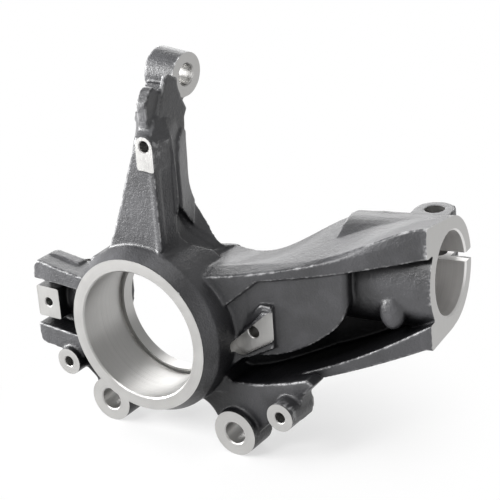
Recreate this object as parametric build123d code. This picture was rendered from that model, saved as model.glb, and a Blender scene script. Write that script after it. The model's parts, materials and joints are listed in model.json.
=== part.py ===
"""Front steering knuckle: one casting with its machined faces, bores and tapped holes.

The frame is the wheel bearing's: its axis is Y, its seat begins at Y = 0 and -Y points outboard.
+X runs towards the strut clamp, which is up on the vehicle, and +Z towards the tie-rod eye.
"""
import os
from math import cos, radians, sin, tan

from build123d import *

os.makedirs("parts", exist_ok=True)

# Wheel-bearing hub
bearing_bore_r = 41.0
bearing_seat_depth = 36.0
bearing_relief_w = 2.0
bearing_relief_r = 42.0
shoulder_bore_r = 38.4
hub_depth = 46.0
hub_face_r = 48.7
hub_body_r = 53.6
hub_cone_depth = 6.5
bore_chamfer = 0.8

# Strut clamp: its end face, measured from the bearing, and the way its axis leans
strut_x, strut_y, strut_z = 163.5, 90.8, 35.4
strut_toe_deg = 6.1
strut_lean_deg = 2.3
strut_bore_r = 25.0
strut_wall = 8.6
strut_length = 61.0
strut_bore_depth = 58.0
strut_draft_deg = 1.5
strut_cheek = 35.0
strut_cheek_length = 12.0
strut_cheek_half_h = 34.0
slit_w = 5.6
pinch_from_face = 22.0
pinch_clear_of_bore = 3.6
pinch_hole_r = 6.2
pinch_boss_r = 12.6
pinch_boss_top = 25.2
pinch_boss_bottom = 26.0
pinch_ramp = 26.0

# Neck, an open channel between the hub and the strut clamp
neck_start_x = 18.0
neck_edge_y_hub = 12.0
neck_edge_y_strut = 56.0
neck_top_hub = 37.0
neck_top_strut = 70.5
neck_top_curve = 1.8
neck_bottom_hub = -39.0
neck_bottom_strut = 0.6
neck_bottom_curve = 1.7
neck_back_y_hub = 56.0
neck_back_top_hub = 39.0
neck_back_wall = 9.0
neck_join_share = 0.58
pocket_roof = 3.6
pocket_roof_strut = 14.0
pocket_floor_hub = -32.5
pocket_floor_strut = 14.6
bulge_y = 27.2
bulge_turn_deg = 16.0
lump_half_w, lump_half_h = 8.0, 11.0
lump_rise = 4.5
lump_from_face = 25.0
lump_below_axis_deg = 25.0

# Sensor seat between the hub and the pocket: a sunk face in a cast boss
sensor_x, sensor_z = 64.5, 3.2
sensor_y = 29.0
sensor_boss_y = 27.6
sensor_rim_w = 3.0
sensor_round_x, sensor_round_z, sensor_round_r = 57.2, -6.4, 5.4
sensor_end_x, sensor_end_w = 78.8, 5.0
sensor_end_top, sensor_end_bottom = 19.6, 0.6
sensor_shelf_inset = 3.0
sensor_hole_r = 3.6
sensor_hole_depth = 12.0

# Caliper ears
ear_face_y = 15.6
ear_back_y = 36.0
ear_z = -60.8
ear_left_x, ear_right_x = -40.4, 55.0
ear_r = 14.6
ear_hole_r = 7.0
web_front_y = 21.0
web_back_y = 33.0

# Dust-shield bosses
shield_face_y = 9.0
shield_boss_r = 8.8
shield_hole_r = 3.4
shield_hole_depth = 14.0
shield_left_x, shield_left_z = -66.8, -37.0
shield_right_x, shield_right_z = 92.9, -37.4
shield_top_x, shield_top_z = 11.0, 117.5

# Steering arm and tie-rod eye
arm_face_y = 10.5
arm_pad_half_w = 6.0
arm_pad_drop = 14.5
arm_right_x = 16.0
arm_part_y = 29.0
eye_x, eye_y, eye_z = 7.8, 59.2, 146.6
eye_toe_deg = -2.0
eye_lean_deg = -3.5
eye_r = 13.4
eye_draft_deg = 2.0
eye_bore_r = 6.5
eye_length = 21.0
arm_head_w = 11.8
arm_web_w = 3.4
arm_rail_x, arm_rail_w = 3.0, 7.0
arm_bead_w = 2.6
arm_bead_rise = 1.0
arm_panel_depth = 2.6

# Ball-joint bracket, opposite the strut
bracket_end_x = -94.0
bracket_front_y = 13.5
bracket_back_y = 33.0
bracket_top_z = 25.0
bracket_corner_r = 4.5
bracket_bottom_z = -30.0
bracket_flange = 12.0
bracket_recess_y = 27.0
bracket_pad_y = 16.5
bracket_pad_w = 18.0
bracket_pad_top, bracket_pad_bottom = 8.5, -12.5
bracket_hole_r = 2.9
bracket_hole_depth = 14.0
stud_y, stud_z = 42.0, 0.0
stud_bore_r = 8.6
stud_bore_depth = 30.0
stud_slit_w = 3.0
stud_bolt_r = 4.2
stud_boss_r = 18.0
stud_bolt_seat_r = 8.5
stud_bolt_seat_z = 14.5


def side_plane(y):
    """Plane facing outboard at depth y, with X to the right and Z up."""
    return Plane((0, y, 0), x_dir=(1, 0, 0), z_dir=(0, -1, 0))


def slab(face, y_from, y_to):
    """Solid of an X-Z outline between two depths along the hub axis."""
    return extrude(side_plane(y_from) * face, amount=-(y_to - y_from))


def rod(x, z, radius, y_from, y_to):
    """Cylinder parallel to the hub axis."""
    return slab(Pos(x, z) * Circle(radius), y_from, y_to)


def outline(*points):
    """Closed straight-sided face."""
    return make_face(Polyline(*points, close=True))


def cross_section(x, points):
    """Closed Y-Z outline standing at station x."""
    return Plane((x, 0, 0), x_dir=(0, 1, 0), z_dir=(1, 0, 0)) * outline(*points)


def level_section(z, points):
    """Closed X-Y outline lying at height z."""
    return Plane((0, 0, z)) * outline(*points)


def leaning(toe_deg, lean_deg):
    """Direction along +X, turned inboard by the toe and up by the lean."""
    toe, lean = radians(toe_deg), radians(lean_deg)
    return Vector(cos(lean) * cos(toe), cos(lean) * sin(toe), sin(lean))


def across(toe_deg):
    """Level inboard direction square to a toe."""
    return Vector(-sin(radians(toe_deg)), cos(radians(toe_deg)), 0)


strut_axis, strut_side = leaning(strut_toe_deg, strut_lean_deg), across(strut_toe_deg)
strut_face = Plane((strut_x, strut_y, strut_z), x_dir=strut_side, z_dir=strut_axis)
eye_face = Plane((eye_x, eye_y, eye_z), x_dir=across(eye_toe_deg), z_dir=leaning(eye_toe_deg, eye_lean_deg))
strut_outer_r = strut_bore_r + strut_wall
pinch_offset = strut_bore_r + pinch_hole_r + pinch_clear_of_bore


def hub_solid():
    """Barrel round the bearing: machined face, cast cone and body."""
    profile = outline(
        (0, -bore_chamfer), (hub_face_r, -bore_chamfer), (hub_face_r + 1.2, 1.6), (hub_body_r - 1.4, hub_cone_depth),
        (hub_body_r, hub_cone_depth + 2.5), (hub_body_r + 0.6, hub_depth - 4),
        (hub_body_r - 3.0, hub_depth), (0, hub_depth),
    )
    return revolve(profile, Axis.Y)


def hub_bores():
    """Bearing seat with its relief groove, and the shoulder behind it."""
    seat_end = bearing_seat_depth
    profile = outline(
        (0, -2 * bore_chamfer), (bearing_bore_r + 2 * bore_chamfer, -2 * bore_chamfer), (bearing_bore_r, 0),
        (bearing_bore_r, seat_end - bearing_relief_w), (bearing_relief_r, seat_end - bearing_relief_w),
        (bearing_relief_r, seat_end), (shoulder_bore_r, seat_end),
        (shoulder_bore_r, hub_depth - 2), (shoulder_bore_r + 3, hub_depth + 1),
        (shoulder_bore_r + 10, hub_depth + 1), (shoulder_bore_r + 12, hub_depth + 60),
        (0, hub_depth + 60),
    )
    return revolve(profile, Axis.Y)


def neck_share(x):
    """How far station x lies along the neck, from 0 at the hub to 1 at the strut face."""
    return (x - neck_start_x) / (strut_x - neck_start_x)


def neck_edge_y(x):
    """Depth of the channel's outboard edge at station x."""
    return neck_edge_y_hub + (neck_edge_y_strut - neck_edge_y_hub) * neck_share(x)


def strut_axis_y(x):
    """Depth of the strut axis at station x."""
    return strut_y - (strut_x - x) * tan(radians(strut_toe_deg))


def neck_back_y(x):
    """Depth of the inboard side: it slants out to the clamp barrel and then follows its crest."""
    reach = min(1.0, neck_share(x) / neck_join_share)
    return neck_back_y_hub + (strut_axis_y(x) + 6 - neck_back_y_hub) * reach


def neck_back_top(x):
    """Height of the top's inboard edge, which swings up to the crest of the clamp barrel."""
    reach = min(1.0, max(0.0, (neck_share(x) - 0.2) / (neck_join_share - 0.1)))
    crest = strut_z - (strut_x - x) * tan(radians(strut_lean_deg)) + strut_outer_r
    return neck_back_top_hub + (crest - 0.8 - neck_back_top_hub) * reach * reach * (3 - 2 * reach)


def rise(x, low, high, curve):
    """Height that stays near low beside the hub and sweeps to high at the strut."""
    return low + (high - low) * max(0.0, neck_share(x)) ** curve


def neck_solid():
    """Channel body lofted from the hub to the strut face.

    Each station gives its share of the length, how far the top's crease lies inboard of the
    outboard edge and how high it stands over that edge.
    """
    stations = [
        (0.0, 15, 3.0), (0.2, 12, 3.0), (0.4, 9, 2.5), (0.6, 3.5, 2.0), (0.8, 2, 5.0), (0.93, 1.5, 6.5),
        (1.04, 1.5, 2.0),
    ]
    sections = []
    for share, inset, crown in stations:
        x = neck_start_x + (strut_x - neck_start_x) * share
        edge, back = neck_edge_y(x), neck_back_y(x)
        top = rise(x, neck_top_hub, neck_top_strut, neck_top_curve)
        bottom = rise(x, neck_bottom_hub, neck_bottom_strut, neck_bottom_curve)
        sections.append(cross_section(x, [
            (edge, bottom), (edge, top), (edge + inset, top + crown),
            (back, neck_back_top(x)), (back, bottom + 4), (back - 12, bottom),
        ]))
    return loft(sections)


def pocket_tool():
    """Space between the two flanges, open to the outboard side and closed by the back wall."""
    start, knee = hub_body_r - 6, neck_start_x + 52
    end = strut_x + 10
    stations = [knee + (end - knee) * step / 5 for step in range(6)]
    roof = [(x, rise(x, neck_top_hub - pocket_roof, neck_top_strut - pocket_roof_strut, neck_top_curve))
            for x in stations]
    floor = [(x, rise(x, pocket_floor_hub, pocket_floor_strut, 2.0)) for x in stations]
    opening = make_face(Wire([
        Spline(*floor), Line(floor[-1], roof[-1]), Spline(*reversed(roof)), Line(roof[0], (start, 18)),
        Line((start, 18), (start - 6, -22)), Line((start - 6, -22), (start + 4, -29)),
        Line((start + 4, -29), floor[0]),
    ]))
    deep = slab(opening, -5, strut_y + 20)
    clamp_back = strut_x - strut_length
    plan = Plane.XY.offset(-100) * outline(
        (start - 10, -5), (end, -5), (end, strut_y), (clamp_back + 20, strut_axis_y(clamp_back)),
        (clamp_back - 10, neck_back_y(clamp_back - 10) - neck_back_wall), (start + 14, hub_depth + 2),
        (start - 10, hub_depth - 8),
    )
    return deep & extrude(plan, amount=200)


def strut_clamp():
    """Round clamp barrel whose outboard side is squared off at the face."""
    barrel = extrude(strut_face * Circle(strut_outer_r), amount=-strut_length, taper=strut_draft_deg)
    cheek_face = Pos(-strut_cheek / 2, 0) * Rectangle(strut_cheek, 2 * strut_cheek_half_h)
    cheek = extrude(strut_face * cheek_face, amount=-strut_cheek_length)
    return barrel, cheek


def pinch_plane(height):
    """Plane across the pinch bolt at a height above the strut axis."""
    base = strut_face.from_local_coords(Vector(pinch_offset, height, -pinch_from_face))
    return Plane(base, x_dir=strut_axis, z_dir=strut_face.y_dir)


def pinch_lug():
    """Boss for the pinch bolt on the slit side, with a ramp down the barrel."""
    height = pinch_boss_top + pinch_boss_bottom
    boss_face = Circle(pinch_boss_r) + Pos(0, -pinch_boss_r) * Rectangle(2 * pinch_boss_r, 2 * pinch_boss_r)
    boss = extrude(pinch_plane(-pinch_boss_bottom) * boss_face, amount=height)
    half = pinch_boss_r * 0.75
    side = Plane(pinch_plane(0).origin - strut_side * pinch_boss_r, x_dir=strut_axis, z_dir=strut_side)
    ramp = extrude(side * outline(
        (0, 0), (0, -pinch_boss_top + 1.5), (-half, -pinch_boss_top + 1.5), (-pinch_ramp - half, 0),
    ), amount=2 * pinch_boss_r - 5)
    return boss + ramp


def clamp_cuts():
    """Strut bore, the slit that lets it close and the pinch bolt's hole."""
    bore = extrude(strut_face.offset(5) * Circle(strut_bore_r), amount=-strut_bore_depth - 5)
    slit_reach = strut_outer_r + pinch_boss_r
    slit = extrude(strut_face.offset(5) * (Pos(slit_reach, 0) * Rectangle(2 * slit_reach, slit_w)),
                   amount=-strut_length - 7)
    hole = extrude(pinch_plane(-60) * Circle(pinch_hole_r), amount=120)
    return [bore, slit, hole]


def bulge_solid():
    """Raised part of the pocket's wall, bounded by a curved lower edge."""
    left, right = hub_body_r + 6, strut_x - 40
    roof, bottom = neck_top_strut, -11.5
    face = make_face(Wire([
        Line((left, bottom), (left, roof)), Line((left, roof), (right, roof)), Line((right, roof), (right, 26)),
        Spline((right, 26), (right - 7, 11), (right - 18, 1.5), (left + 32, -6.5), (left, bottom)),
    ]))
    hinge = Pos(left, bulge_y, 0) * Rot(0, 0, bulge_turn_deg) * Pos(-left, 0, 0)
    solid = hinge * slab(face, 0, 50)
    return fillet(solid.edges().filter_by(Axis.Z).sort_by(Axis.Y)[0:2], 4) & neck_solid()


def pocket_lump():
    """Low oval swelling on the clamp barrel inside the pocket."""
    angle = radians(180 + lump_below_axis_deg)
    centre = strut_face.from_local_coords(
        Vector(strut_outer_r * cos(angle), strut_outer_r * sin(angle), -lump_from_face)
    )
    dome = scale(Sphere(lump_half_h), by=(lump_half_w / lump_half_h, lump_rise / lump_half_h, 1.0))
    return Pos(centre) * Rot(0, 0, strut_toe_deg) * dome


def sensor_face(clear):
    """Pad outline, round at its lower end and square at the other, grown by a clearance."""
    low = Pos(sensor_round_x, sensor_round_z) * Circle(sensor_round_r + clear)
    mid_z = (sensor_end_top + sensor_end_bottom) / 2
    end = Pos(sensor_end_x - sensor_end_w / 2, mid_z) * Rectangle(
        sensor_end_w + 2 * clear, sensor_end_top - sensor_end_bottom + 2 * clear
    )
    return make_face(Wire.make_convex_hull(low.edges() + end.edges()))


def sensor_shelf():
    """Corner of the pocket beside the hub, with the boss that carries the pad."""
    left, knee = hub_body_r - 14, neck_start_x + 53.5
    corner = outline(
        (left, 28), (knee, 38), (knee, sensor_end_top), (sensor_end_x - 8, sensor_end_bottom - 3),
        (left, -30), (left - 8, -20),
    )
    deep = sensor_y + 18
    near, far = left - 10, knee + 10
    plan = Plane.XY.offset(bracket_end_x) * outline(
        (near, neck_edge_y(near) + sensor_shelf_inset), (far, neck_edge_y(far) + sensor_shelf_inset),
        (far, deep), (near, deep),
    )
    shelf = slab(corner, neck_edge_y_hub, deep) & extrude(plan, amount=-2 * bracket_end_x)
    boss = slab(sensor_face(sensor_rim_w), sensor_boss_y, deep - 6)
    beyond = Pos(sensor_end_x + 20, 0) * Rectangle(40, 120)
    return shelf + (boss - slab(beyond, 0, deep))


def sensor_cut():
    """Space in front of the pad's sunk face."""
    return slab(sensor_face(0), sensor_boss_y - 8, sensor_y)


def ear(x):
    """Caliper ear: a cylindrical boss."""
    return rod(x, ear_z, ear_r, ear_face_y, ear_back_y)


def shield_boss(x, z, back_y):
    """Small boss for the dust shield."""
    return rod(x, z, shield_boss_r, shield_face_y, back_y)


def ear_webs():
    """Plates that carry the ears and the dust-shield bosses on the hub."""
    right = outline(
        (12, -30), (24, -48), (ear_right_x - ear_r + 1, ear_z + 4), (ear_right_x, ear_z - 6),
        (ear_right_x + ear_r, ear_z + 2), (78, -50), (shield_right_x - 4, shield_right_z - 8),
        (shield_right_x + 8, shield_right_z - 5), (101, -28), (110, -18), (60, 0),
    )
    right -= Pos(ear_right_x - 32, ear_z - 1.7) * Circle(ear_r + 2.4)
    left = outline(
        (0, -30), (ear_left_x + 18, ear_z + 8), (ear_left_x, ear_z - 6), (ear_left_x - ear_r, ear_z + 2),
        (ear_left_x - 15, -52), (shield_left_x + 3, shield_left_z - 8), (shield_left_x - 8.5, shield_left_z),
        (shield_left_x, -20), (-40, 0),
    )
    left -= Pos(ear_left_x - 17.5, ear_z - 3) * Circle(8.0)
    tail = rod(shield_right_x - 2, shield_right_z, shield_boss_r + 0.8, web_front_y, ear_back_y)
    return slab(right, web_front_y, web_back_y) + slab(left, web_front_y, web_back_y) + tail


def arm_solid():
    """Steering arm: widest at the casting's parting line, flared where it leaves the hub.

    Each level gives its height, the left and right of the outboard face, the parting line's
    right-hand point, the inboard side's right-hand point and depth, and how far the face sets back.
    """
    levels = [
        (28, -38, 18, 34, 40, 56, 0), (44, -30, 17, 26, 31, 54, 0), (54, -22, 16.5, 18.5, 19, 55.5, 0),
        (62, -18.5, 16, 16.5, 12.5, 56.5, 0), (76, -13, 16, 16.5, 9.5, 51, 0), (98, -5, 16, 16.5, 9, 50, 0),
        (116, 2, 16, 16, 9, 51, 0), (121, 3, 15, 15, 9, 52, 1), (126, 4, 13, 13.5, 9, 53, 6),
        (131, 5, 11.5, 11.5, 8, 54, 10),
    ]
    sections = []
    for z, left, right, part_right, back_right, back, set_back in levels:
        rear_left = min(left - 1, eye_x - eye_length + 2)
        sections.append(level_section(z, [
            (left, arm_face_y + set_back), (right, arm_face_y + set_back), (part_right, arm_part_y),
            (back_right, back), (rear_left, back - 2), (min(left - 3, rear_left + 2), arm_part_y),
        ]))
    return loft(sections)


def arm_details():
    """Bead along the arm's outboard edge, parting ridge, raised back rail and sunken panels."""
    arm = arm_solid()
    side = Plane((0, 0, 0), x_dir=(0, 1, 0), z_dir=(1, 0, 0))

    def band(*points):
        return extrude(side * outline(*points), amount=3 * arm_right_x)

    rail = band((33, 60), (44, 60), (54, 72), (54, 108), (50, 115.5), (44, 118), (37, 114), (33, 104))
    ridge = band((27, 72), (28.2, 72), (29.4, 90), (28.4, 118), (26.8, 118), (27.8, 90))
    bead_top = shield_top_z - arm_pad_drop + 1
    bead = slab(outline(
        (arm_right_x - arm_bead_w, 53), (arm_right_x + 0.8, 53), (arm_right_x + 0.8, bead_top),
        (arm_right_x - arm_bead_w, bead_top),
    ), arm_face_y - arm_bead_rise, arm_face_y + 4)
    raised = (rail & Pos(1.8, 0, 0) * arm) + (ridge & Pos(1.2, 0, 0) * arm) + bead
    panel = band((30, 76), (27.5, 63), (28.5, 56), (33, 50.5), (41, 45.5), (49, 42.5), (39, 59))
    facet = band((30, 76), (39, 59), (49, 42.5), (54, 42.5), (47, 54))
    sunk = (panel - Pos(-arm_panel_depth, 0, 0) * arm) + (facet - Pos(-arm_panel_depth / 2, 0, 0) * arm)
    return raised, sunk


def eye_solid():
    """Tie-rod eye and the notched head of the arm, milled back level with the eye's face."""
    eye = extrude(eye_face * Circle(eye_r), amount=-eye_length, taper=-eye_draft_deg)
    side = Plane((0, 0, 0), x_dir=(0, 1, 0), z_dir=(1, 0, 0))
    rail = extrude(side.offset(arm_rail_x) * outline(
        (13, 118), (15.5, 124), (15.5, 141), (20, 147), (24.5, 149), (29.5, 144.8), (46, 146),
        (56, 132), (49.5, 124), (48.5, 114), (20, 112),
    ), amount=arm_rail_w)
    web = extrude(side.offset(arm_head_w - arm_web_w) * outline(
        (16, 116), (20.5, 127), (34.6, 153), (38, 153), (48, 147), (56, 134), (49.5, 124), (48.5, 114),
    ), amount=arm_web_w)
    root = extrude(side.offset(eye_x - eye_length + 2) * outline(
        (30, 126), (44, 144), (60, 140), (50, 118), (34, 112),
    ), amount=eye_length - 4)
    point = outline((-eye_r * 0.9, -eye_r * 0.6), (-eye_r * 0.4, -eye_r * 1.5), (eye_r * 0.9, -eye_r * 0.6))
    milled = extrude(eye_face * (Circle(eye_r + 0.5) + point), amount=20)
    return eye + rail + web + root - milled


def shield_pad():
    """Round-topped pad on the arm, level with the dust-shield bosses."""
    half = arm_pad_half_w
    face = Pos(shield_top_x, shield_top_z) * (
        Circle(half) + Pos(0, -arm_pad_drop / 2) * Rectangle(2 * half, arm_pad_drop)
    )
    return slab(face, shield_face_y, arm_part_y)


def bracket_solid():
    """Bracket with two flanges and a recess between them, backed by the ball-joint boss."""
    end, hub = bracket_end_x, -hub_body_r + 12
    front = outline(
        (end + 1.5, bracket_bottom_z), (hub, bracket_bottom_z - 5), (hub, bracket_top_z - 4),
        (end + 22, bracket_top_z), (end + 3, bracket_top_z + 3.5), (end, 0),
    )
    front = fillet(front.vertices().group_by(Axis.X)[0] + front.vertices().group_by(Axis.X)[1]
                   + front.vertices().group_by(Axis.X)[2], bracket_corner_r)
    body = slab(front, bracket_front_y, bracket_back_y)
    low, high = bracket_bottom_z + bracket_flange, bracket_top_z - bracket_flange + 1
    opening = outline((end - 5, low + 2), (hub - 10, low - 2), (hub - 10, high - 1), (end - 5, high + 1))
    recess = slab(opening, bracket_front_y - 5, bracket_recess_y)
    pad_mid = (bracket_pad_top + bracket_pad_bottom) / 2
    pad_h = bracket_pad_top - bracket_pad_bottom
    pad = slab(Pos(end + bracket_pad_w / 2, pad_mid) * Rectangle(bracket_pad_w, pad_h),
               bracket_pad_y, bracket_recess_y + 2)
    rim = slab(outline(
        (end + 3, bracket_top_z - 4), (end + 36, bracket_top_z - 6), (end + 30, bracket_top_z + 0.5),
        (end + 8, bracket_top_z + 3.5),
    ), bracket_back_y - 8, bracket_back_y)
    stud = Plane((end + 1, stud_y, stud_z), z_dir=(1, 0, 0))
    boss = extrude(stud * Circle(stud_boss_r), amount=hub - end - 1)
    return body - recess + pad + rim + boss


def ball_joint_bolt_at():
    """Middle of the pinch bolt that closes the ball-joint clamp."""
    return Vector(bracket_end_x + 14, stud_y + stud_bore_r + 1.5, stud_z)


def ball_joint_cuts():
    """Blind bore for the ball-joint stud, its slit, and its pinch bolt's hole and seats."""
    mouth = Plane((bracket_end_x - 5, stud_y, stud_z), x_dir=(0, 1, 0), z_dir=(1, 0, 0))
    bore = extrude(mouth * Circle(stud_bore_r), amount=stud_bore_depth + 5)
    slit = extrude(mouth * (Pos(20, 0) * Rectangle(40, stud_slit_w)), amount=stud_bore_depth - 4)
    bolt = Plane(ball_joint_bolt_at())
    hole = extrude(bolt * Circle(stud_bolt_r), amount=stud_boss_r + 2, both=True)
    seat = extrude(bolt.offset(stud_bolt_seat_z) * Circle(stud_bolt_seat_r), amount=stud_boss_r)
    return [bore, slit, hole, seat, mirror(seat, Plane.XY)]


def drilled_holes():
    """Through holes in the ears and eye, and the blind tapped holes."""
    holes = [rod(x, ear_z, ear_hole_r, ear_face_y - 1, ear_back_y + 1) for x in (ear_left_x, ear_right_x)]
    shields = [(shield_left_x, shield_left_z), (shield_right_x, shield_right_z), (shield_top_x, shield_top_z)]
    holes += [rod(x, z, shield_hole_r, shield_face_y - 1, shield_face_y + shield_hole_depth) for x, z in shields]
    holes.append(extrude(eye_face.offset(1) * Circle(eye_bore_r), amount=-eye_length - 2))
    holes.append(rod(bracket_end_x + bracket_pad_w / 2, (bracket_pad_top + bracket_pad_bottom) / 2,
                     bracket_hole_r, bracket_pad_y - 1, bracket_pad_y + bracket_hole_depth))
    holes.append(rod(sensor_x, sensor_z, sensor_hole_r, sensor_y - 1, sensor_y + sensor_hole_depth))
    return holes


def result_solid():
    """The casting with everything that is machined on it."""
    barrel, cheek = strut_clamp()
    raised, sunk = arm_details()
    body = neck_solid() + cheek + ear_webs() - pocket_tool()
    body = body + barrel + bulge_solid() + pocket_lump() + sensor_shelf() + pinch_lug()
    body = body + hub_solid() + arm_solid() + raised + eye_solid() + shield_pad() + bracket_solid()
    body = body + ear(ear_left_x) + ear(ear_right_x)
    body = body + shield_boss(shield_left_x, shield_left_z, web_back_y)
    body = body + shield_boss(shield_right_x, shield_right_z, web_back_y)
    body = body - sunk - sensor_cut() - hub_bores()
    body -= extrude(strut_face * Rectangle(2 * strut_x, 2 * strut_x), amount=strut_cheek)
    for tool in clamp_cuts() + ball_joint_cuts() + drilled_holes():
        body -= tool
    return body


knuckle = result_solid()
knuckle.label = "steering_knuckle"
export_step(knuckle, "parts/steering_knuckle.step")
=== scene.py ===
"""Front steering knuckle: a black-coated iron casting with bright machined faces and bores.

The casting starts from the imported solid. Raised stock is added where the real one is machined, the
cast edges and corners are rounded, and crisp cutters then take the faces, bores and holes to size.
"""
import json
import logging
import math
from dataclasses import dataclass, field
from enum import Enum

import bmesh
import bpy
from mathutils import Matrix, Vector


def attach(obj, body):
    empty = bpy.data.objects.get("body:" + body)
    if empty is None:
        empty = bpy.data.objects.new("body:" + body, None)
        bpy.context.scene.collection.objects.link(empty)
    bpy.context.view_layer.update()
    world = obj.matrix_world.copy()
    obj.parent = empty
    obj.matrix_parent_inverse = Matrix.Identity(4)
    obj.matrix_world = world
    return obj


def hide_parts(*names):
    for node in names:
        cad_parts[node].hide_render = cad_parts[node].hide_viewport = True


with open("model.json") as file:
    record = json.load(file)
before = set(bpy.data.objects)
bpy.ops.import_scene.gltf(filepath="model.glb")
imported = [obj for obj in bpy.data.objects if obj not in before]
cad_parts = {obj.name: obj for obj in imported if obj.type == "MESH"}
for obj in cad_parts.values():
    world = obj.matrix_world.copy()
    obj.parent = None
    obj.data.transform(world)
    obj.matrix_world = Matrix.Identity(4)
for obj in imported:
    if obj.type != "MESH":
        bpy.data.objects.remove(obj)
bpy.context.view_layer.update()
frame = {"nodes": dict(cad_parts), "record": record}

logging.basicConfig(level=logging.INFO, format="%(message)s")
log = logging.getLogger("steering_knuckle")

MM = 0.001
NODE = "steering_knuckle"
SEGMENTS = 96


class CutMark(Enum):
    """Mark that a machining cut leaves on a face."""

    TURNED = "turned"
    MILLED = "milled"


@dataclass(frozen=True)
class CastCoat:
    """Black semi-gloss coating over a sand-cast skin, with painted shade in its hollows and painted
    highlights on its edges.

    Attributes:
        name: The material's name.
        colour: The coating's mean colour.
        worn_and_highlight_colour: Colour of the metal that shows on worn edges, which also paints highlights
            along the convex edges.
        painted_hollow_shade: Painted shade: the near-black colour that the coating is darkened to in hollows,
            where shade falls.
        roughness: Its mean roughness.
        grain_scale: Scale of the sand's grain, in cycles a metre.
        dimple_scale: Scale of the dimples, in cycles a metre.
        cloud_scale: Scale of the patches in tone and gloss, in cycles a metre.
        painted_shade_reach: How far away a wall still adds painted shade to a hollow, in metres.
        wear_and_highlight_from: Pointiness at which the wear and the painted edge highlight begin and are
            complete.
        painted_shade_from: Openness at which the painted shade in a hollow is darkest and at which it ends.
    """

    name: str = "cast_coat"
    colour: tuple[float, float, float] = (0.052, 0.052, 0.056)
    worn_and_highlight_colour: tuple[float, float, float] = (0.62, 0.62, 0.63)
    painted_hollow_shade: tuple[float, float, float] = (0.004, 0.004, 0.005)
    roughness: float = 0.40
    grain_scale: float = 900.0
    dimple_scale: float = 260.0
    cloud_scale: float = 45.0
    painted_shade_reach: float = 0.080
    wear_and_highlight_from: tuple[float, float] = (0.512, 0.550)
    painted_shade_from: tuple[float, float] = (0.46, 0.84)

    def build(self) -> bpy.types.Material:
        """Makes the coating's material.

        Returns:
            The node material.
        """
        material = bpy.data.materials.new(self.name)
        material.use_nodes = True
        nodes, links = material.node_tree.nodes, material.node_tree.links
        shader = nodes["Principled BSDF"]
        shader.inputs["IOR"].default_value = 1.55
        shader.inputs["Coat Weight"].default_value = 0.25
        shader.inputs["Coat Roughness"].default_value = 0.22
        place = nodes.new("ShaderNodeTexCoord")
        grain = noise(nodes, links, place, self.grain_scale, 3.0)
        dimples = noise(nodes, links, place, self.dimple_scale, 2.0)
        clouds = noise(nodes, links, place, self.cloud_scale, 4.0)
        tone = nodes.new("ShaderNodeValToRGB")
        tone.color_ramp.elements[0].position = 0.35
        tone.color_ramp.elements[0].color = (*[c * 0.75 for c in self.colour], 1)
        tone.color_ramp.elements[1].position = 0.68
        tone.color_ramp.elements[1].color = (*[c * 1.45 for c in self.colour], 1)
        links.new(clouds.outputs["Fac"], tone.inputs["Fac"])
        # Convex edges, broken up by the dimple noise, are lightened towards bare metal: partly real wear,
        # partly a painted highlight along the edges.
        worn_and_lit_edges = nodes.new("ShaderNodeNewGeometry")
        edge = ranged(nodes, links, worn_and_lit_edges.outputs["Pointiness"], self.wear_and_highlight_from)
        speck = ranged(nodes, links, dimples.outputs["Fac"], (0.42, 0.62))
        wear_and_highlight = nodes.new("ShaderNodeMath")
        wear_and_highlight.operation = "MULTIPLY"
        links.new(edge.outputs["Result"], wear_and_highlight.inputs[0])
        links.new(speck.outputs["Result"], wear_and_highlight.inputs[1])
        blend = nodes.new("ShaderNodeMix")
        blend.data_type = "RGBA"
        blend.inputs[7].default_value = (*self.worn_and_highlight_colour, 1)
        links.new(wear_and_highlight.outputs["Value"], blend.inputs[0])
        links.new(tone.outputs["Color"], blend.inputs[6])
        # Painted shade: ambient occlusion darkens the coat's colour towards near black in hollows and
        # recesses, where shade falls.
        depth = nodes.new("ShaderNodeAmbientOcclusion")
        depth.samples = 8
        depth.inputs["Distance"].default_value = self.painted_shade_reach
        shadow = ranged(nodes, links, depth.outputs["AO"], self.painted_shade_from, (0.03, 1.0))
        painted_shade_mix = nodes.new("ShaderNodeMix")
        painted_shade_mix.data_type = "RGBA"
        painted_shade_mix.inputs[6].default_value = (*self.painted_hollow_shade, 1)
        links.new(shadow.outputs["Result"], painted_shade_mix.inputs[0])
        links.new(blend.outputs[2], painted_shade_mix.inputs[7])
        links.new(painted_shade_mix.outputs[2], shader.inputs["Base Color"])
        # Painted shade on reflections: the same occlusion mask lowers the coat's specular level in hollows.
        painted_shade_specular = ranged(nodes, links, shadow.outputs["Result"], to=(0.15, 0.5))
        links.new(painted_shade_specular.outputs["Result"], shader.inputs["Specular IOR Level"])
        gloss = ranged(nodes, links, clouds.outputs["Fac"], to=(self.roughness - 0.08, self.roughness + 0.12))
        links.new(gloss.outputs["Result"], shader.inputs["Roughness"])
        fine = bump(nodes, links, grain.outputs["Fac"], 0.7, 0.0004)
        coarse = bump(nodes, links, dimples.outputs["Fac"], 0.5, 0.0007, fine)
        links.new(coarse.outputs["Normal"], shader.inputs["Normal"])
        return material


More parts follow.
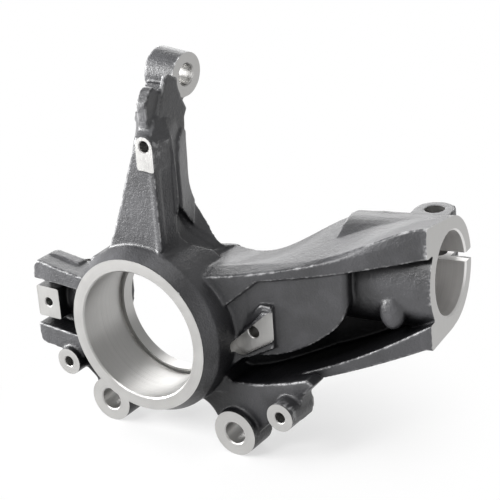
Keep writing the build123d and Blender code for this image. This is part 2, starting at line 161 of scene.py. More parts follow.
@dataclass(frozen=True)
class BareSteel:
    """Bare machined iron with the marks of the tool that cut it.

    Attributes:
        name: The material's name.
        centre: A point on the cut's axis, in metres.
        axis: The direction of the cut's axis.
        mark: Whether the marks are turned rings or milled lines.
        pitch: Distance between marks, in metres.
        colour: The metal's mean colour.
        roughness: Its mean roughness.
    """

    name: str
    centre: tuple[float, float, float]
    axis: tuple[float, float, float]
    mark: CutMark = CutMark.TURNED
    pitch: float = 0.0009
    colour: tuple[float, float, float] = (0.47, 0.465, 0.455)
    roughness: float = 0.38

    def build(self) -> bpy.types.Material:
        """Makes the bare metal's material.

        Returns:
            The node material.
        """
        material = bpy.data.materials.new(self.name)
        material.use_nodes = True
        nodes, links = material.node_tree.nodes, material.node_tree.links
        shader = nodes["Principled BSDF"]
        shader.inputs["Metallic"].default_value = 1.0
        place = nodes.new("ShaderNodeTexCoord")
        spin = Vector(self.axis).normalized().to_track_quat("Z", "Y").inverted()
        offset = -(spin @ Vector(self.centre))
        local = nodes.new("ShaderNodeMapping")
        local.inputs["Rotation"].default_value = spin.to_euler()
        local.inputs["Location"].default_value = offset
        links.new(place.outputs["Object"], local.inputs["Vector"])
        split = nodes.new("ShaderNodeSeparateXYZ")
        links.new(local.outputs["Vector"], split.inputs["Vector"])
        flat = nodes.new("ShaderNodeCombineXYZ")
        links.new(split.outputs["X"], flat.inputs["X"])
        if self.mark is CutMark.TURNED:
            links.new(split.outputs["Y"], flat.inputs["Y"])
        length = nodes.new("ShaderNodeVectorMath")
        length.operation = "LENGTH"
        links.new(flat.outputs["Vector"], length.inputs[0])
        streak = nodes.new("ShaderNodeCombineXYZ")
        links.new(length.outputs["Value"], streak.inputs["X"])
        links.new(split.outputs["Z"], streak.inputs["Z"])
        lines = nodes.new("ShaderNodeTexNoise")
        lines.inputs["Scale"].default_value = 1.0 / self.pitch
        lines.inputs["Detail"].default_value = 3.0
        links.new(streak.outputs["Vector"], lines.inputs["Vector"])
        patches = noise(nodes, links, place, 120.0, 3.0)
        tone = nodes.new("ShaderNodeMix")
        tone.data_type = "RGBA"
        tone.inputs[6].default_value = (*[c * 0.80 for c in self.colour], 1)
        tone.inputs[7].default_value = (*[min(1.0, c * 1.12) for c in self.colour], 1)
        shade = nodes.new("ShaderNodeMath")
        shade.operation = "MULTIPLY_ADD"
        shade.inputs[1].default_value = 0.6
        links.new(lines.outputs["Fac"], shade.inputs[0])
        patchy = nodes.new("ShaderNodeMath")
        patchy.operation = "MULTIPLY"
        patchy.inputs[1].default_value = 0.4
        links.new(patches.outputs["Fac"], patchy.inputs[0])
        links.new(patchy.outputs["Value"], shade.inputs[2])
        links.new(shade.outputs["Value"], tone.inputs[0])
        links.new(tone.outputs[2], shader.inputs["Base Color"])
        gloss = ranged(nodes, links, shade.outputs["Value"],
                       to=(self.roughness - 0.10, self.roughness + 0.14))
        links.new(gloss.outputs["Result"], shader.inputs["Roughness"])
        marks = bump(nodes, links, lines.outputs["Fac"], 0.5, 0.00018)
        links.new(marks.outputs["Normal"], shader.inputs["Normal"])
        return material


def noise(nodes: bpy.types.Nodes, links: bpy.types.NodeLinks, place: bpy.types.Node, scale: float,
          detail: float) -> bpy.types.Node:
    """Adds a noise texture on the piece's own coordinates.

    Args:
        nodes: The material's nodes.
        links: The material's links.
        place: The texture-coordinate node.
        scale: Size of the pattern, in cycles a metre.
        detail: Number of finer layers.

    Returns:
        The noise node.
    """
    texture = nodes.new("ShaderNodeTexNoise")
    texture.inputs["Scale"].default_value = scale
    texture.inputs["Detail"].default_value = detail
    links.new(place.outputs["Object"], texture.inputs["Vector"])
    return texture


def ranged(nodes: bpy.types.Nodes, links: bpy.types.NodeLinks, value: bpy.types.NodeSocket,
           start: tuple[float, float] = (0.0, 1.0), to: tuple[float, float] = (0.0, 1.0)) -> bpy.types.Node:
    """Adds a node that maps a value from one range to another.

    Args:
        nodes: The material's nodes.
        links: The material's links.
        value: The socket that gives the value.
        start: The range that it comes from.
        to: The range that it goes to.

    Returns:
        The range node.
    """
    mapped = nodes.new("ShaderNodeMapRange")
    mapped.inputs["From Min"].default_value, mapped.inputs["From Max"].default_value = start
    mapped.inputs["To Min"].default_value, mapped.inputs["To Max"].default_value = to
    links.new(value, mapped.inputs["Value"])
    return mapped


def bump(nodes: bpy.types.Nodes, links: bpy.types.NodeLinks, height: bpy.types.NodeSocket, strength: float,
         distance: float, below: bpy.types.Node | None = None) -> bpy.types.Node:
    """Adds a bump layer.

    Args:
        nodes: The material's nodes.
        links: The material's links.
        height: The socket that gives the height.
        strength: How strong the relief is, from 0 to 1.
        distance: The relief's depth, in metres.
        below: The bump node under this one, if there is one.

    Returns:
        The bump node.
    """
    relief = nodes.new("ShaderNodeBump")
    relief.inputs["Strength"].default_value = strength
    relief.inputs["Distance"].default_value = distance
    links.new(height, relief.inputs["Height"])
    if below is not None:
        links.new(below.outputs["Normal"], relief.inputs["Normal"])
    return relief


def placed(point: Vector, axis: Vector, up: Vector = Vector((0, 0, 1))) -> Matrix:
    """Frame whose Z runs along an axis and whose Y leans towards an up direction.

    Args:
        point: The frame's origin.
        axis: Its Z direction.
        up: The direction that its Y leans towards.

    Returns:
        The frame's matrix.
    """
    z = axis.normalized()
    x = up.cross(z).normalized()
    y = z.cross(x)
    turn = Matrix((x, y, z)).transposed()
    return Matrix.Translation(point) @ turn.to_4x4()


@dataclass
class Shapes:
    """A mesh under construction, to which closed shapes are added with one material each."""

    bm: bmesh.types.BMesh = field(default_factory=bmesh.new)
    materials: list[bpy.types.Material] = field(default_factory=list)

    def paint(self, faces: list[bmesh.types.BMFace], material: bpy.types.Material | None) -> None:
        """Gives faces a material.

        Args:
            faces: The faces.
            material: Their material, or None to leave them as they are.
        """
        if material is None:
            return
        if material not in self.materials:
            self.materials.append(material)
        for face in faces:
            face.material_index = self.materials.index(material)

    def lathe(self, profile: list[tuple[float, float]], where: Matrix,
              material: bpy.types.Material | None = None, steps: int = SEGMENTS) -> None:
        """Spins a radius-height profile round a frame's Z; the profile starts and ends on the axis.

        Args:
            profile: Radius and height of each point, in metres.
            where: The frame that it turns in.
            material: The turned faces' material.
            steps: Number of facets round the axis.
        """
        verts = [self.bm.verts.new((r, 0, h)) for r, h in profile]
        edges = [self.bm.edges.new(pair) for pair in zip(verts, verts[1:])]
        bmesh.ops.spin(self.bm, geom=verts + edges, axis=(0, 0, 1), cent=(0, 0, 0), angle=math.tau,
                       steps=steps, use_merge=True, use_duplicate=False)
        faces = {f for v in verts for f in v.link_faces}
        grow = list(faces)
        while grow:
            face = grow.pop()
            for edge in face.edges:
                for other in edge.link_faces:
                    if other not in faces:
                        faces.add(other)
                        grow.append(other)
        shell = {v for f in faces for v in f.verts}
        bmesh.ops.remove_doubles(self.bm, verts=list(shell), dist=1e-7)
        faces = [f for f in self.bm.faces if f.is_valid and any(v in shell for v in f.verts if v.is_valid)]
        bmesh.ops.recalc_face_normals(self.bm, faces=faces)
        bmesh.ops.transform(self.bm, matrix=where, verts=list({v for f in faces for v in f.verts}))
        self.paint(faces, material)

    def prism(self, points: list[tuple[float, float]], low: float, high: float, where: Matrix,
              material: bpy.types.Material | None = None) -> None:
        """Extrudes an outline between two heights of a frame.

        Args:
            points: The outline, in metres.
            low: Height of its base.
            high: Height of its top.
            where: The frame that it stands in.
            material: Its faces' material.
        """
        base = self.bm.faces.new([self.bm.verts.new((x, y, low)) for x, y in points])
        raised = bmesh.ops.extrude_face_region(self.bm, geom=[base], use_keep_orig=True)["geom"]
        top = [v for v in raised if isinstance(v, bmesh.types.BMVert)]
        bmesh.ops.translate(self.bm, verts=top, vec=(0, 0, high - low))
        verts = list(base.verts) + top
        faces = list({f for v in verts for f in v.link_faces})
        bmesh.ops.recalc_face_normals(self.bm, faces=faces)
        bmesh.ops.transform(self.bm, matrix=where, verts=verts)
        self.paint(faces, material)

    def raise_face(self, centre: Vector, normal: Vector, reach: float, rise: float = 4 * MM) -> None:
        """Pushes a flat face of the mesh outwards, so that it can be cut back crisply later.

        Args:
            centre: A point on the face's plane.
            normal: The way the face points.
            reach: How far from that point the face's parts may lie.
            rise: How far it is pushed.
        """
        self.bm.normal_update()
        faces = [
            f for f in self.bm.faces
            if f.normal.dot(normal) > 0.999 and (f.calc_center_median() - centre).length < reach
            and abs((f.calc_center_median() - centre).dot(normal)) < 0.1 * MM
        ]
        log.info("raised face: %d facets", len(faces))
        grown = bmesh.ops.extrude_face_region(self.bm, geom=faces)["geom"]
        top = [v for v in grown if isinstance(v, bmesh.types.BMVert)]
        bmesh.ops.translate(self.bm, verts=top, vec=normal * rise)

    def piece(self, name: str) -> bpy.types.Object:
        """Turns the shapes into an object.

        Args:
            name: The object's name.

        Returns:
            The object, linked to the scene.
        """
        mesh = bpy.data.meshes.new(name)
        self.bm.to_mesh(mesh)
        self.bm.free()
        for material in self.materials:
            mesh.materials.append(material)
        piece = bpy.data.objects.new(name, mesh)
        bpy.context.scene.collection.objects.link(piece)
        return piece


@dataclass
class Job:
    """The casting's stock before machining and the cutters, in the order in which they are used."""

    stock: Shapes
    faces: Shapes
    pads: Shapes
    slits: Shapes
    drills: Shapes


def record_mount(name: str) -> tuple[Vector, Vector, dict[str, float]]:
    """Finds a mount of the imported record.

    Args:
        name: The mount's name.

    Returns:
        Its point and axis, and its lengths in metres by name.
    """
    found = next(m for m in frame["record"]["mounts"] if m["name"] == name)
    sizes = {key[:-3]: value * MM for key, value in found["dims"].items() if key.endswith("_mm")}
    return Vector(found["pos_m"]), Vector(found["axis"]), sizes


@dataclass
class HubSeat:
    """Face ring, bearing seat, relief groove and shoulder of the hub."""

    face_r: float = 48.7 * MM
    chamfer: float = 0.8 * MM
    relief_r: float = 42.0 * MM
    relief_w: float = 2.0 * MM
    shoulder_r: float = 38.4 * MM
    depth: float = 46.0 * MM

    def machine(self, job: Job) -> None:
        """Adds the hub's stock and its cutter.

        Args:
            job: What is built up.
        """
        point, axis, size = record_mount("hub_bore")
        where = placed(point, axis)
        r, seat = size["r"], size["length"]
        steel = BareSteel("hub_steel", tuple(point), tuple(axis), pitch=0.0007).build()
        job.stock.lathe([(0, -self.depth + 3 * MM), (self.face_r - 3 * MM, -self.depth + 3 * MM),
                         (self.face_r, -20 * MM), (self.face_r, 4 * MM), (0, 4 * MM)], where)
        job.faces.lathe([
            (0, -self.depth - 5 * MM), (self.shoulder_r + 6 * MM, -self.depth - 5 * MM),
            (self.shoulder_r + 2.5 * MM, -self.depth - 0.5 * MM), (self.shoulder_r, -self.depth + 2 * MM),
            (self.shoulder_r, -seat - self.relief_w), (self.relief_r, -seat - self.relief_w),
            (self.relief_r, -seat), (r, -seat), (r, 0), (r + self.chamfer, self.chamfer),
            (self.face_r + 6 * MM, self.chamfer), (self.face_r + 6 * MM, 10 * MM), (0, 10 * MM),
        ], where, steel, 160)


@dataclass
class BoredBoss:
    """A round boss with a machined face and a hole.

    Attributes:
        name: The boss's name.
        face: Centre of its machined face.
        axis: The way the face points.
        boss_r: The boss's radius.
        hole_r: The hole's radius.
        hole_depth: The hole's depth from the face.
        length: How long the boss is.
        chamfer: The hole's chamfer.
        through: Whether the hole leaves at the back.
        clear: How far the facing cutter reaches past the boss's rim.
    """

    name: str
    face: Vector
    axis: Vector
    boss_r: float
    hole_r: float
    hole_depth: float
    length: float
    chamfer: float = 0.7 * MM
    through: bool = False
    clear: float = 2.0 * MM

    def machine(self, job: Job) -> None:
        """Adds the boss's stock and its cutter.

        Args:
            job: What is built up.
        """
        where = placed(self.face, self.axis)
        steel = BareSteel(f"{self.name}_steel", tuple(self.face), tuple(self.axis)).build()
        r = self.boss_r
        job.stock.lathe([(0, -self.length), (r - 0.4 * MM, -self.length), (r, -self.length * 0.5),
                         (r, 3 * MM), (0, 3 * MM)], where, steps=64)
        tip = -self.hole_depth - (3 * MM if self.through else self.hole_r * 0.6)
        wall = self.hole_r if self.through else 0.0
        job.faces.lathe([
            (0, tip), (wall, tip), (self.hole_r, -self.hole_depth), (self.hole_r, -self.chamfer),
            (self.hole_r + self.chamfer, 0), (r + self.clear, 0), (r + self.clear, 8 * MM), (0, 8 * MM),
        ], where, steel, 64)


@dataclass
class StrutClamp:
    """End face, bore and slit of the strut clamp.

    Attributes:
        face: A point on the bore's axis in the end face, in millimetres.
        toe_deg: Turn of the bore's axis towards the inboard side.
        lean_deg: Turn of the bore's axis upwards.
        slit_w: The slit's width.
        length: The barrel's length.
    """

    face: tuple[float, float, float] = (163.5, 90.8, 35.4)
    toe_deg: float = 6.1
    lean_deg: float = 2.3
    slit_w: float = 5.6 * MM
    length: float = 61 * MM

    def frame(self) -> Matrix:
        """Frame on the end face: Z along the bore and X across it, away from the hub's face."""
        toe, lean = math.radians(self.toe_deg), math.radians(self.lean_deg)
        z = Vector((math.cos(lean) * math.cos(toe), math.cos(lean) * math.sin(toe), math.sin(lean)))
        x = Vector((-math.sin(toe), math.cos(toe), 0))
        turn = Matrix((x, z.cross(x), z)).transposed()
        return Matrix.Translation(Vector(self.face) * MM) @ turn.to_4x4()

    def machine(self, job: Job) -> None:
        """Adds the clamp's stock and its cutters.

        Args:
            job: What is built up.
        """
        where = self.frame()
        axis = where.to_3x3() @ Vector((0, 0, 1))
        size = record_mount("strut_clamp")[2]
        r = size["r"]
        # Painted light: the bore's steel gets a much lighter colour than the other machined steel, standing
        # in for light that reaches into the bore.
        steel = BareSteel("clamp_bore_painted_light_steel", tuple(where.translation), tuple(axis), pitch=0.0011,
                          colour=(0.80, 0.79, 0.78), roughness=0.46).build()
        milled = BareSteel("clamp_face_steel", tuple(where.translation), tuple(axis), CutMark.MILLED,
                           pitch=0.0016).build()
        job.stock.raise_face(where.translation, axis, 70 * MM)
        plug = r + 2 * MM
        job.stock.lathe([(0, -size["length"]), (plug, -size["length"]), (plug, 4 * MM), (0, 4 * MM)], where)
        wide = 90 * MM
        job.faces.prism(box_outline(-wide, -wide, wide, wide), 0, 60 * MM, where, milled)
        mouth = r + 1.2 * MM
        job.slits.lathe([(0, -size["length"]), (r, -size["length"]), (r, -1.0 * MM), (mouth, 0.2 * MM),
                         (mouth, 5 * MM), (0, 5 * MM)], where, steel, 128)
        half = self.slit_w / 2
        job.drills.prism([(r * 0.5, -half), (r + 60 * MM, -half), (r + 60 * MM, half), (r * 0.5, half)],
                         -self.length - 2 * MM, 5 * MM, where, milled)


@dataclass
class MilledPad:
    """A flat pad milled square to the hub's axis, with a tapped hole where it has one.

    Attributes:
        name: The pad's name.
        centre: A point on the pad.
        outline: The cutter's outline about that point, X to the right and Z up.
        hole_r: The hole's radius, or 0 for none.
        hole_depth: The hole's depth.
        cut_out: How far the cutter reaches outboard of the pad.
    """

    name: str
    centre: Vector
    outline: list[tuple[float, float]]
    hole_r: float = 0.0
    hole_depth: float = 0.0
    cut_out: float = 7 * MM

    def machine(self, job: Job) -> None:
        """Raises the pad's stock, mills it and drills its hole.

        Args:
            job: What is built up.
        """
        outboard = Vector((0, -1, 0))
        where = placed(self.centre, outboard)
        steel = BareSteel(f"{self.name}_steel", tuple(self.centre), tuple(outboard), CutMark.MILLED,
                          pitch=0.0012).build()
        reach = max(math.hypot(*point) for point in self.outline)
        job.stock.raise_face(self.centre, outboard, reach)
        if self.hole_r:
            plug = self.hole_r + 1.5 * MM
            job.stock.lathe([(0, -self.hole_depth), (plug, -self.hole_depth), (plug, 4 * MM), (0, 4 * MM)],
                            where, steps=32)
            chamfer = 0.6 * MM
            rim = self.hole_r + chamfer
            job.drills.lathe([
                (0, -self.hole_depth - self.hole_r * 0.6), (self.hole_r, -self.hole_depth),
                (self.hole_r, -chamfer), (rim, 0.02 * MM), (rim, 2 * MM), (0, 2 * MM),
            ], where, steel, 48)
        job.pads.prism(self.outline, 0, self.cut_out, where, steel)


def box_outline(left: float, bottom: float, right: float, top: float) -> list[tuple[float, float]]:
    """Outline of a rectangle.

    Args:
        left: Its left side.
        bottom: Its bottom.
        right: Its right side.
        top: Its top.

    Returns:
        The corners, anticlockwise.
    """
    return [(left, bottom), (right, bottom), (right, top), (left, top)]


def rounded_hull(circles: list[tuple[float, float, float]], steps: int = 48) -> list[tuple[float, float]]:
    """Outline of a belt stretched round circles.

    Args:
        circles: Centre and radius of each circle.
        steps: Points taken round each circle.

    Returns:
        The outline's points, anticlockwise.
    """
    cloud = sorted(
        (x + r * math.cos(math.tau * k / steps), y + r * math.sin(math.tau * k / steps))
        for x, y, r in circles for k in range(steps)
    )

    def half(points: list[tuple[float, float]]) -> list[tuple[float, float]]:
        """Walks one side of the hull.

        Args:
            points: The points, sorted along that side.

        Returns:
            The side's corners, without the last one.
        """
        chain: list[tuple[float, float]] = []
        for point in points:
            while len(chain) > 1:
                (ax, ay), (bx, by) = chain[-2:]
                if (bx - ax) * (point[1] - ay) - (by - ay) * (point[0] - ax) > 1e-12:
                    break
                chain.pop()
            chain.append(point)
        return chain[:-1]

    return half(cloud) + half(cloud[::-1])


@dataclass
class CrossHole:
    """A plain drilled hole or bore along a mount's axis, with flat seats beyond its ends.

    Attributes:
        mount: The mount's name.
        beyond: How far the drill goes past each end of the mount.
        seat_r: Radius of the seats at the ends, or 0 for none.
    """

    mount: str
    beyond: float = 8 * MM
    seat_r: float = 0.0

    @property
    def name(self) -> str:
        """The hole's name."""
        return self.mount

    def machine(self, job: Job) -> None:
        """Plugs the hole in the stock and drills it again to size.

        Args:
            job: What is built up.
        """
        point, axis, size = record_mount(self.mount)
        where = placed(point, axis, Vector((0, 1, 0)))
        r, half = size["r"], size["length"] / 2
        steel = BareSteel(f"{self.mount}_steel", tuple(point), tuple(axis)).build()
        plug, inside = r + 1.5 * MM, half - 1 * MM
        job.stock.lathe([(0, -inside), (plug, -inside), (plug, inside), (0, inside)], where, steps=48)
        end, seat = half + self.beyond, max(self.seat_r, r + 0.02 * MM)
        job.slits.lathe([(0, -end), (seat, -end), (seat, -half), (r, -half), (r, half), (seat, half),
                         (seat, end), (0, end)], where, steel, 64)


@dataclass
class Casting:
    """The whole casting, rounded as sand leaves it and then machined.

    Attributes:
        voxel: Cell size of the stock's new mesh.
        rounding: Passes that round its edges.
        share_kept: Share of its facets that is kept.
        ear_y: Depth of the caliper ears' faces.
        ear_r: The ears' radius.
        ear_length: The ears' length.
        boss_y: Depth of the shield bosses' faces and of the arm's pad.
        boss_r: The shield bosses' radius.
        boss_length: Their length.
        eye_r: Radius of the tie-rod eye.
        bracket_pad_y: Depth of the bracket's pad.
        bracket_pad_half: Half its width and half its height.
        sensor_pad_y: Depth of the sensor's pad.
        arm_pad_box: Left, bottom, right and top of the arm's pad about its hole.
        bolt_seat_r: Radius of the seats of the ball joint's bolt.
        skin_crease_deg: Angle from which an edge of the cast skin is a crease.
        steel_crease_deg: The same angle for edges of machined faces.
    """

    voxel: float = 0.8 * MM
    rounding: int = 7
    share_kept: float = 0.36
    ear_y: float = 15.6 * MM
    ear_r: float = 14.6 * MM
    ear_length: float = 20.4 * MM
    boss_y: float = 9.0 * MM
    boss_r: float = 8.8 * MM
    boss_length: float = 12 * MM
    eye_r: float = 13.4 * MM
    bracket_pad_y: float = 16.5 * MM
    bracket_pad_half: tuple[float, float] = (9.6 * MM, 11.1 * MM)
    sensor_pad_y: float = 29.0 * MM
    arm_pad_box: tuple[float, float, float, float] = (-6.3 * MM, -15.6 * MM, 6.3 * MM, 7 * MM)
    bolt_seat_r: float = 8.5 * MM
    skin_crease_deg: float = 60.0
    steel_crease_deg: float = 28.0

    def stock(self) -> Shapes:
        """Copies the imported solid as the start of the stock.

        Returns:
            The stock, to which raised faces are added.
        """
        stock = Shapes()
        stock.bm.from_mesh(frame["nodes"][NODE].data)
        bmesh.ops.remove_doubles(stock.bm, verts=stock.bm.verts, dist=1e-6)
        return stock

    def build(self) -> bpy.types.Object:
        """Builds and dresses the casting.

        Returns:
            The finished piece.
        """
        job = Job(self.stock(), Shapes(), Shapes(), Shapes(), Shapes())
        for feature in self.features():
            feature.machine(job)
            log.info("machined: %s", getattr(feature, "name", type(feature).__name__))
        coat = CastCoat().build()
        blank = job.stock.piece("blank")
        skin = blank.modifiers.new("skin", "REMESH")
        skin.mode = "VOXEL"
        skin.voxel_size = self.voxel
        round_off = blank.modifiers.new("round_off", "SMOOTH")
        round_off.iterations = self.rounding
        round_off.factor = 0.5
        thin = blank.modifiers.new("thin", "DECIMATE")
        thin.ratio = self.share_kept
        casting = self.baked(blank, "casting")
        casting.data.materials.clear()
        casting.data.materials.append(coat)
        for step, shapes in (("faces", job.faces), ("pads", job.pads), ("slits", job.slits),
                             ("drills", job.drills)):
            if not shapes.bm.faces:
                continue
            cutter = shapes.piece(f"cutter_{step}")
            cut = casting.modifiers.new(step, "BOOLEAN")
            cut.operation = "DIFFERENCE"
            cut.object = cutter
            cut.solver = "EXACT"
            cut.material_mode = "TRANSFER"
            casting = self.baked(casting, "casting")
            log.info("cut %s: %d faces left", step, len(casting.data.polygons))
            bpy.data.objects.remove(cutter)
        self.smooth_shading(casting)
        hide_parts(NODE)
        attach(casting, "root")
        return casting

    def baked(self, piece: bpy.types.Object, name: str) -> bpy.types.Object:
        """Replaces a piece by its mesh with all its modifiers applied.

        Args:
            piece: The piece, which is deleted.
            name: The new piece's name.

        Returns:
            The new piece.
        """
        shown = piece.evaluated_get(bpy.context.evaluated_depsgraph_get())
        mesh = bpy.data.meshes.new_from_object(shown)
        bpy.data.objects.remove(piece)
        result = bpy.data.objects.new(name, mesh)
        bpy.context.scene.collection.objects.link(result)
        return result

    def smooth_shading(self, piece: bpy.types.Object) -> None:
        """Shades the piece smoothly, with creases where machined faces meet.

        Args:
            piece: The piece.
        """
        bm = bmesh.new()
        bm.from_mesh(piece.data)
        for face in bm.faces:
            face.smooth = True
        for edge in bm.edges:
            if len(edge.link_faces) != 2:
                continue
            a, b = edge.link_faces
            machined = a.material_index or b.material_index
            crease_deg = self.steel_crease_deg if machined else self.skin_crease_deg
            sharp = edge.calc_face_angle(0.0) > math.radians(crease_deg)
            edge.smooth = not (sharp or a.material_index != b.material_index)
        bm.to_mesh(piece.data)
        bm.free()

    def features(self) -> list[HubSeat | BoredBoss | StrutClamp | MilledPad | CrossHole]:
        """Lists everything that is machined on the casting.

        Returns:
            The features, in the order in which they are cut.
        """
        outboard = Vector((0, -1, 0))
        point, _, row = record_mount("caliper_bolts")
        half = row["spacing_x"] / 2
        found = [HubSeat(), StrutClamp()]
        for side, x in (("left", point.x - half), ("right", point.x + half)):
            found.append(BoredBoss(f"caliper_ear_{side}", Vector((x, self.ear_y, point.z)), outboard,
                                   self.ear_r, row["hole_r"], self.ear_length, self.ear_length, through=True))
        for side in ("left", "right"):
            point, _, size = record_mount(f"shield_hole_{side}")
            found.append(BoredBoss(f"shield_boss_{side}", Vector((point.x, self.boss_y, point.z)), outboard,
                                   self.boss_r, size["r"], size["length"], self.boss_length, 0.5 * MM))
        point, axis, size = record_mount("tie_rod_eye")
        found.append(BoredBoss("tie_rod_eye", point + axis * size["length"] / 2, axis, self.eye_r, size["r"],
                               size["length"], size["length"], through=True, clear=0.5 * MM))
        wide, high = self.bracket_pad_half
        found.append(self.pad("bracket_pad", "bracket_hole", self.bracket_pad_y,
                              box_outline(-wide, -high, wide, high)))
        low, corner_r = (-7.3 * MM, -9.6 * MM, 5.4 * MM), 0.8 * MM
        corner_x = 14.3 * MM - corner_r
        found.append(self.pad("sensor_pad", "sensor_hole", self.sensor_pad_y, rounded_hull(
            [low, (corner_x, 15.6 * MM, corner_r), (corner_x, -1.8 * MM, corner_r)])))
        found.append(self.pad("arm_pad", "shield_hole_top", self.boss_y, box_outline(*self.arm_pad_box)))
        found += [CrossHole("ball_joint_bolt", seat_r=self.bolt_seat_r), CrossHole("pinch_bolt")]
        return found

    def pad(self, name: str, mount: str, depth: float, outline: list[tuple[float, float]]) -> MilledPad:
        """Describes a milled pad about a mount's hole.

        Args:
            name: The pad's name.
            mount: The mount of its hole.
            depth: The pad's depth.
            outline: Its cutter's outline about the hole.

        Returns:
            The pad.
        """
        point, _, size = record_mount(mount)
        return MilledPad(name, Vector((point.x, depth, point.z)), outline, size["r"], size["length"])


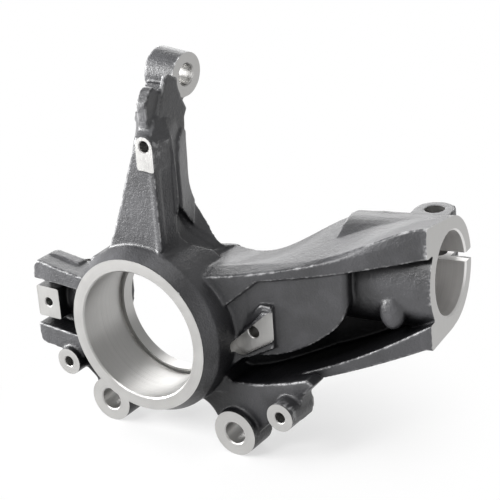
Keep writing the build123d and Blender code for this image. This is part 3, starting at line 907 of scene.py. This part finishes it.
@dataclass
class Studio:
    """Pale floor, soft lamps and the camera at the photograph's angle.

    Attributes:
        floor_z: The floor's height.
        floor_r: The floor's radius.
        middle: The floor's centre.
        aim: The point that the lamps aim at.
        lamps: Each lamp's name, place, width and power in watts.
        camera_at: The camera's place.
        right: The picture's right.
        down: The picture's downward direction.
        forward: The way that the camera looks.
        focal_px: Focal length in pixels of the photograph.
        frame_px: The photograph's width in pixels.
    """

    floor_z: float = -75.4 * MM
    floor_r: float = 2.5
    middle: tuple[float, float] = (0.03, 0.05)
    aim: tuple[float, float, float] = (0.03, 0.05, 0.02)
    lamps: tuple[tuple[str, tuple[float, float, float], float, float], ...] = (
        ("left_lamp", (-1.25, -0.68, 0.20), 1.0, 66.0),
        ("back_lamp", (-0.75, 1.20, 0.70), 1.1, 11.0),
        ("top_lamp", (0.05, -0.10, 1.35), 0.9, 4.0),
        ("right_lamp", (1.25, -0.55, 0.35), 0.5, 2.5),
        ("front_lamp", (-0.26, -0.98, 0.82), 0.35, 7.0),
    )
    camera_at: tuple[float, float, float] = (0.5112, -0.6037, 0.3772)
    right: tuple[float, float, float] = (0.8312, 0.5524, -0.0636)
    down: tuple[float, float, float] = (0.1637, -0.3523, -0.9214)
    forward: tuple[float, float, float] = (-0.5314, 0.7555, -0.3833)
    focal_px: float = 1453.87
    frame_px: float = 500.0

    def build(self) -> None:
        """Sets the whole studio up."""
        self.floor()
        self.world()
        for name, at, size, power in self.lamps:
            self.lamp(name, at, size, power)
        self.camera()
        bpy.context.scene.view_settings.view_transform = "Standard"

    def floor(self) -> bpy.types.Object:
        """Makes the floor, which fades out into the white backdrop.

        Returns:
            The floor.
        """
        bm = bmesh.new()
        bmesh.ops.create_circle(bm, cap_ends=True, segments=128, radius=self.floor_r)
        bmesh.ops.translate(bm, verts=bm.verts, vec=(*self.middle, self.floor_z))
        mesh = bpy.data.meshes.new("floor")
        bm.to_mesh(mesh)
        bm.free()
        material = bpy.data.materials.new("studio_floor")
        material.use_nodes = True
        nodes, links = material.node_tree.nodes, material.node_tree.links
        shader = nodes["Principled BSDF"]
        shader.inputs["Roughness"].default_value = 0.85
        shader.inputs["Specular IOR Level"].default_value = 0.1
        place = nodes.new("ShaderNodeTexCoord")
        centre = nodes.new("ShaderNodeMapping")
        centre.inputs["Location"].default_value = (-self.middle[0], -self.middle[1], -self.floor_z)
        links.new(place.outputs["Object"], centre.inputs["Vector"])
        reach = nodes.new("ShaderNodeVectorMath")
        reach.operation = "LENGTH"
        links.new(centre.outputs["Vector"], reach.inputs[0])
        fade = ranged(nodes, links, reach.outputs["Value"], (0.02, 0.17), (0.60, 1.0))
        fade.interpolation_type = "SMOOTHSTEP"
        ray = nodes.new("ShaderNodeLightPath")
        bounce = nodes.new("ShaderNodeMix")
        bounce.data_type = "RGBA"
        bounce.inputs[6].default_value = (0.93, 0.93, 0.93, 1)
        bounce.inputs[7].default_value = (0.30, 0.30, 0.30, 1)
        links.new(ray.outputs["Is Diffuse Ray"], bounce.inputs[0])
        links.new(bounce.outputs[2], shader.inputs["Base Color"])
        seen = nodes.new("ShaderNodeMath")
        seen.operation = "MAXIMUM"
        links.new(ray.outputs["Is Camera Ray"], seen.inputs[0])
        links.new(ray.outputs["Is Glossy Ray"], seen.inputs[1])
        share = nodes.new("ShaderNodeMath")
        share.operation = "MULTIPLY"
        links.new(fade.outputs["Result"], share.inputs[0])
        links.new(seen.outputs["Value"], share.inputs[1])
        glow = nodes.new("ShaderNodeEmission")
        glow.inputs["Color"].default_value = (1, 1, 1, 1)
        mixed = nodes.new("ShaderNodeMixShader")
        links.new(share.outputs["Value"], mixed.inputs[0])
        links.new(shader.outputs["BSDF"], mixed.inputs[1])
        links.new(glow.outputs["Emission"], mixed.inputs[2])
        links.new(mixed.outputs["Shader"], nodes["Material Output"].inputs["Surface"])
        mesh.materials.append(material)
        floor = bpy.data.objects.new("floor", mesh)
        bpy.context.scene.collection.objects.link(floor)
        return floor

    def world(self) -> None:
        """Makes a white surround that lights the object softly."""
        world = bpy.data.worlds.new("studio")
        world.use_nodes = True
        nodes, links = world.node_tree.nodes, world.node_tree.links
        soft = nodes["Background"]
        soft.inputs["Color"].default_value = (1, 1, 1, 1)
        soft.inputs["Strength"].default_value = 0.06
        shown = nodes.new("ShaderNodeBackground")
        shown.inputs["Strength"].default_value = 1.0
        shown.inputs["Color"].default_value = (1, 1, 1, 1)
        mirrored = nodes.new("ShaderNodeBackground")
        mirrored.inputs["Strength"].default_value = 0.50
        mirrored.inputs["Color"].default_value = (1, 1, 1, 1)
        ray = nodes.new("ShaderNodeLightPath")
        first = nodes.new("ShaderNodeMixShader")
        links.new(ray.outputs["Is Glossy Ray"], first.inputs[0])
        links.new(soft.outputs["Background"], first.inputs[1])
        links.new(mirrored.outputs["Background"], first.inputs[2])
        second = nodes.new("ShaderNodeMixShader")
        links.new(ray.outputs["Is Camera Ray"], second.inputs[0])
        links.new(first.outputs["Shader"], second.inputs[1])
        links.new(shown.outputs["Background"], second.inputs[2])
        links.new(second.outputs["Shader"], nodes["World Output"].inputs["Surface"])
        bpy.context.scene.world = world

    def lamp(self, name: str, at: tuple[float, float, float], size: float, power: float) -> bpy.types.Object:
        """Adds a soft square lamp aimed at the object.

        Args:
            name: The lamp's name.
            at: Its place.
            size: Its width.
            power: Its power in watts.

        Returns:
            The lamp.
        """
        data = bpy.data.lights.new(name, "AREA")
        data.shape = "SQUARE"
        data.size = size
        data.energy = power
        lamp = bpy.data.objects.new(name, data)
        lamp.location = at
        aim = Vector(self.aim) - Vector(at)
        lamp.rotation_euler = aim.to_track_quat("-Z", "Y").to_euler()
        bpy.context.scene.collection.objects.link(lamp)
        return lamp

    def camera(self) -> bpy.types.Object:
        """Sets the camera up at the photograph's angle.

        Returns:
            The camera.
        """
        data = bpy.data.cameras.new("camera")
        data.sensor_fit = "HORIZONTAL"
        data.sensor_width = 36.0
        data.lens = 36.0 * self.focal_px / self.frame_px
        data.clip_start = 0.01
        camera = bpy.data.objects.new("camera", data)
        turn = Matrix((Vector(self.right), -Vector(self.down), -Vector(self.forward))).transposed()
        camera.matrix_world = Matrix.Translation(self.camera_at) @ turn.to_4x4()
        bpy.context.scene.collection.objects.link(camera)
        bpy.context.scene.camera = camera
        return camera


def main() -> None:
    """Builds the casting and the studio in order."""
    casting = Casting().build()
    log.info("built: %s, %d faces", casting.name, len(casting.data.polygons))
    Studio().build()
    log.info("built: studio")


if __name__ == "__main__":
    main()
